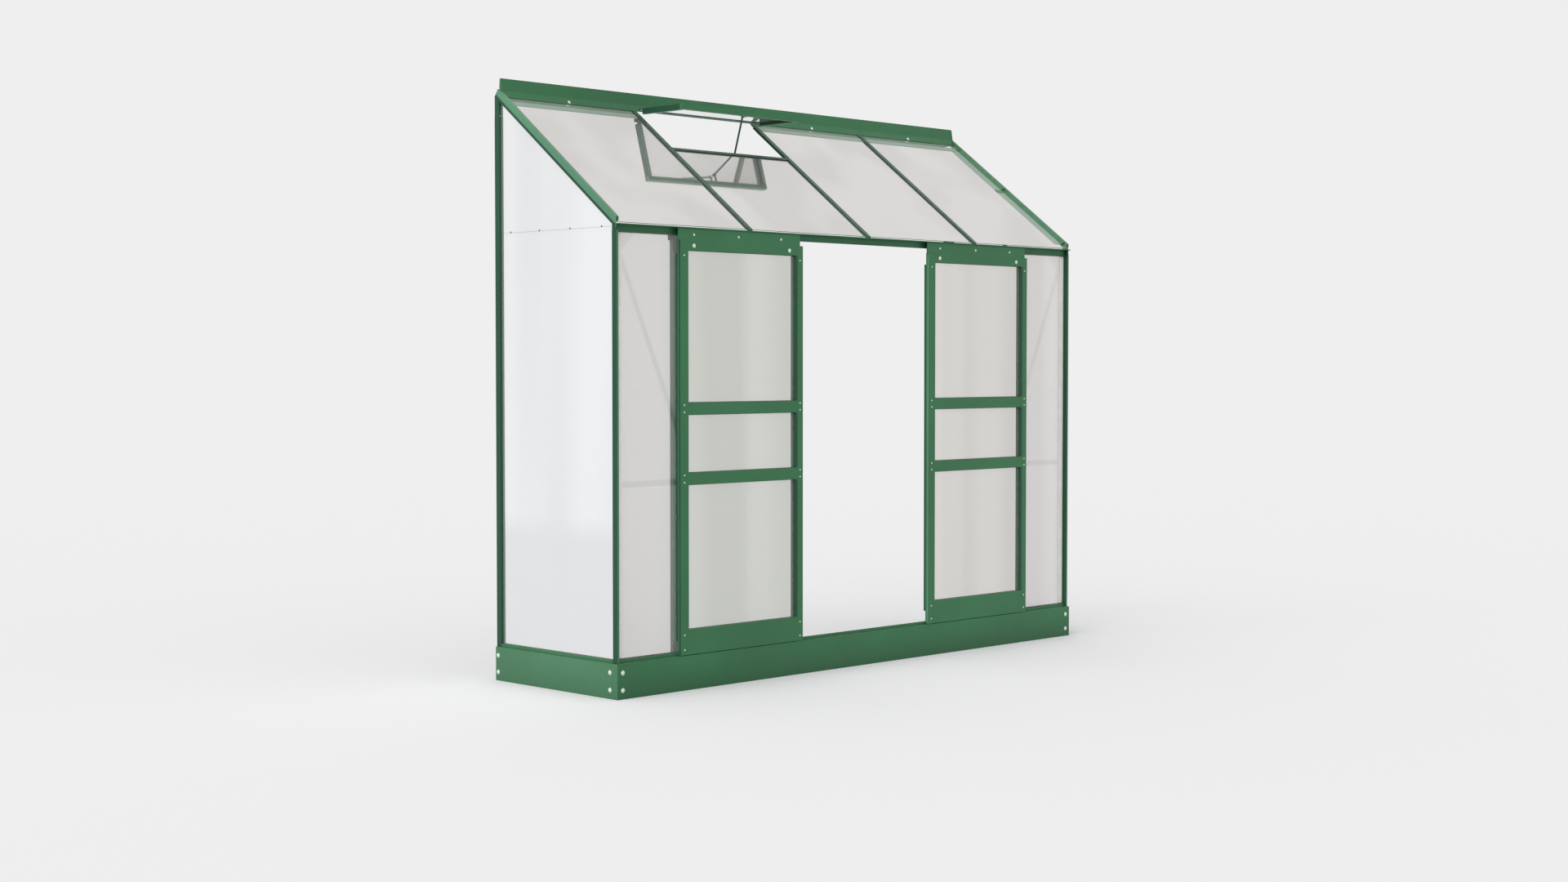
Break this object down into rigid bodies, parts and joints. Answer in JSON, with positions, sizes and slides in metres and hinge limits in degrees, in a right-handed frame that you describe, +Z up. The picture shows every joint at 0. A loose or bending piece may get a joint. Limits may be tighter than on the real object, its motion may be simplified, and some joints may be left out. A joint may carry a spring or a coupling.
{
  "type": "lean-to greenhouse",
  "caption": "Lean-to greenhouse with a metal frame on a plinth, glazed roof and ends, sliding doors on rollers and a propped roof vent.",
  "frame": {"origin": "on the ground, under the centre of the overall box", "axes": "+X to the right along the front, +Y towards the wall, +Z up"},
  "size_m": [2.582, 0.7, 2.236],
  "materials": {
    "frame": "satin green powder coat on aluminium sections",
    "plinth": "satin green powder coat on folded steel sheet",
    "glass": "clear horticultural glass, 3 mm",
    "stay": "zinc plated",
    "roller": "moulded nylon"
  },
  "bodies": {
    "frame": {"plinth_front": "plinth", "plinth_left": "plinth", "plinth_right": "plinth", "sill_front": "frame", "sill_left": "frame", "sill_right": "frame", "post_front_left": "frame", "post_front_right": "frame", "post_rear_left": "frame", "post_rear_right": "frame", "jamb_left": "frame", "jamb_right": "frame", "gable_rail_left": "frame", "gable_rail_right": "frame", "eave_rail": "frame", "ridge_rail": "frame", "rafter_left": "frame", "rafter_right": "frame", "roof_bar_1": "frame", "roof_bar_2": "frame", "roof_bar_3": "frame", "vent_sill": "frame", "front_glass_left": "glass", "front_glass_right": "glass", "gable_glass_lower_left": "glass", "gable_glass_lower_right": "glass", "gable_glass_upper_left": "glass", "gable_glass_upper_right": "glass", "roof_glass_1": "glass", "roof_glass_2": "glass", "roof_glass_3": "glass", "roof_glass_4": "glass"},
    "door_left": {"door_left_stile_left": "frame", "door_left_stile_right": "frame", "door_left_header": "frame", "door_left_upper_rail": "frame", "door_left_lower_rail": "frame", "door_left_kick_plate": "frame", "door_left_pane_lower": "glass", "door_left_pane_middle": "glass", "door_left_pane_upper": "glass"},
    "door_left_roller_left_wheel": {"door_left_roller_left": "roller"},
    "door_left_roller_right_wheel": {"door_left_roller_right": "roller"},
    "door_right": {"door_right_stile_left": "frame", "door_right_stile_right": "frame", "door_right_header": "frame", "door_right_upper_rail": "frame", "door_right_lower_rail": "frame", "door_right_kick_plate": "frame", "door_right_pane_lower": "glass", "door_right_pane_middle": "glass", "door_right_pane_upper": "glass"},
    "door_right_roller_left_wheel": {"door_right_roller_left": "roller"},
    "door_right_roller_right_wheel": {"door_right_roller_right": "roller"},
    "vent": {"vent_hinge_rail": "frame", "vent_bottom_rail": "frame", "vent_side_rail_left": "frame", "vent_side_rail_right": "frame", "vent_glass": "glass"},
    "stay": {"vent_stay": "stay"}
  },
  "joints": [
    {"name": "door_left_slide", "type": "slide", "parent": "frame", "child": "door_left", "axis": [1, 0, 0], "range_m": [-0.28, 0.362]},
    {"name": "door_left_roller_left_spin", "type": "hinge", "parent": "door_left", "child": "door_left_roller_left_wheel", "pos_m": [-0.9225, -0.3259, 1.6578], "axis": [0, 1, 0], "continuous": true},
    {"name": "door_left_roller_right_spin", "type": "hinge", "parent": "door_left", "child": "door_left_roller_right_wheel", "pos_m": [-0.4345, -0.3259, 1.6578], "axis": [0, 1, 0], "continuous": true},
    {"name": "door_right_slide", "type": "slide", "parent": "frame", "child": "door_right", "axis": [1, 0, 0], "range_m": [-0.3605, 0.281]},
    {"name": "door_right_roller_left_spin", "type": "hinge", "parent": "door_right", "child": "door_right_roller_left_wheel", "pos_m": [0.429, -0.3259, 1.6578], "axis": [0, 1, 0], "continuous": true},
    {"name": "door_right_roller_right_spin", "type": "hinge", "parent": "door_right", "child": "door_right_roller_right_wheel", "pos_m": [0.917, -0.3259, 1.6578], "axis": [0, 1, 0], "continuous": true},
    {"name": "vent_hinge", "type": "hinge", "parent": "frame", "child": "vent", "pos_m": [-0.32125, 0.274, 2.16175], "axis": [1, 0, 0], "range_deg": [-12, 36.8]},
    {"name": "stay_pivot", "type": "hinge", "parent": "vent", "child": "stay", "pos_m": [-0.28525, 0.064, 2.15375], "axis": [1, 0, 0], "range_deg": [-37, 12.5]}
  ],
  "couplings": [
    {"joint": "door_left_roller_left_spin", "follows": "door_left_slide", "rad_per_m": 90.909},
    {"joint": "door_left_roller_right_spin", "follows": "door_left_slide", "rad_per_m": 90.909},
    {"joint": "door_right_roller_left_spin", "follows": "door_right_slide", "rad_per_m": 90.909},
    {"joint": "door_right_roller_right_spin", "follows": "door_right_slide", "rad_per_m": 90.909},
    {"joint": "stay_pivot", "follows": "vent_hinge", "ratio": -1}
  ]
}
